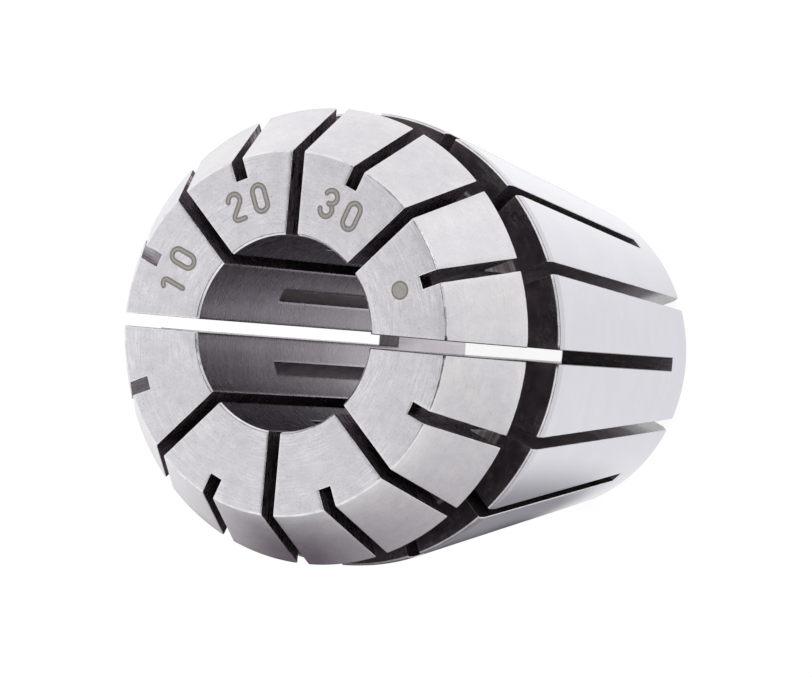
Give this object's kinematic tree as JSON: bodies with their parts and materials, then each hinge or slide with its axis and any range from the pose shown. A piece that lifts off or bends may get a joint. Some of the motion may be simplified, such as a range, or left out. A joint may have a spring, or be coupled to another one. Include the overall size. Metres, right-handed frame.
{
  "type": "collet",
  "caption": "Slotted spring collet: a tapered steel sleeve with a nut cone and groove at the wide end, which closes on a straight tool shank.",
  "frame": {"origin": "centre of the small rear end, which the collet stands on", "axes": "+Z along the bore axis from the rear end to the front face, +X through the middle of a slot that is cut from the front"},
  "size_m": [0.026, 0.026, 0.034],
  "materials": {
    "ground_steel": "fine ground and satin on the face, cones and bore, dark from heat treatment in the slots and the groove"
  },
  "bodies": {
    "root": {"collet": "ground_steel"}
  },
  "joints": []
}
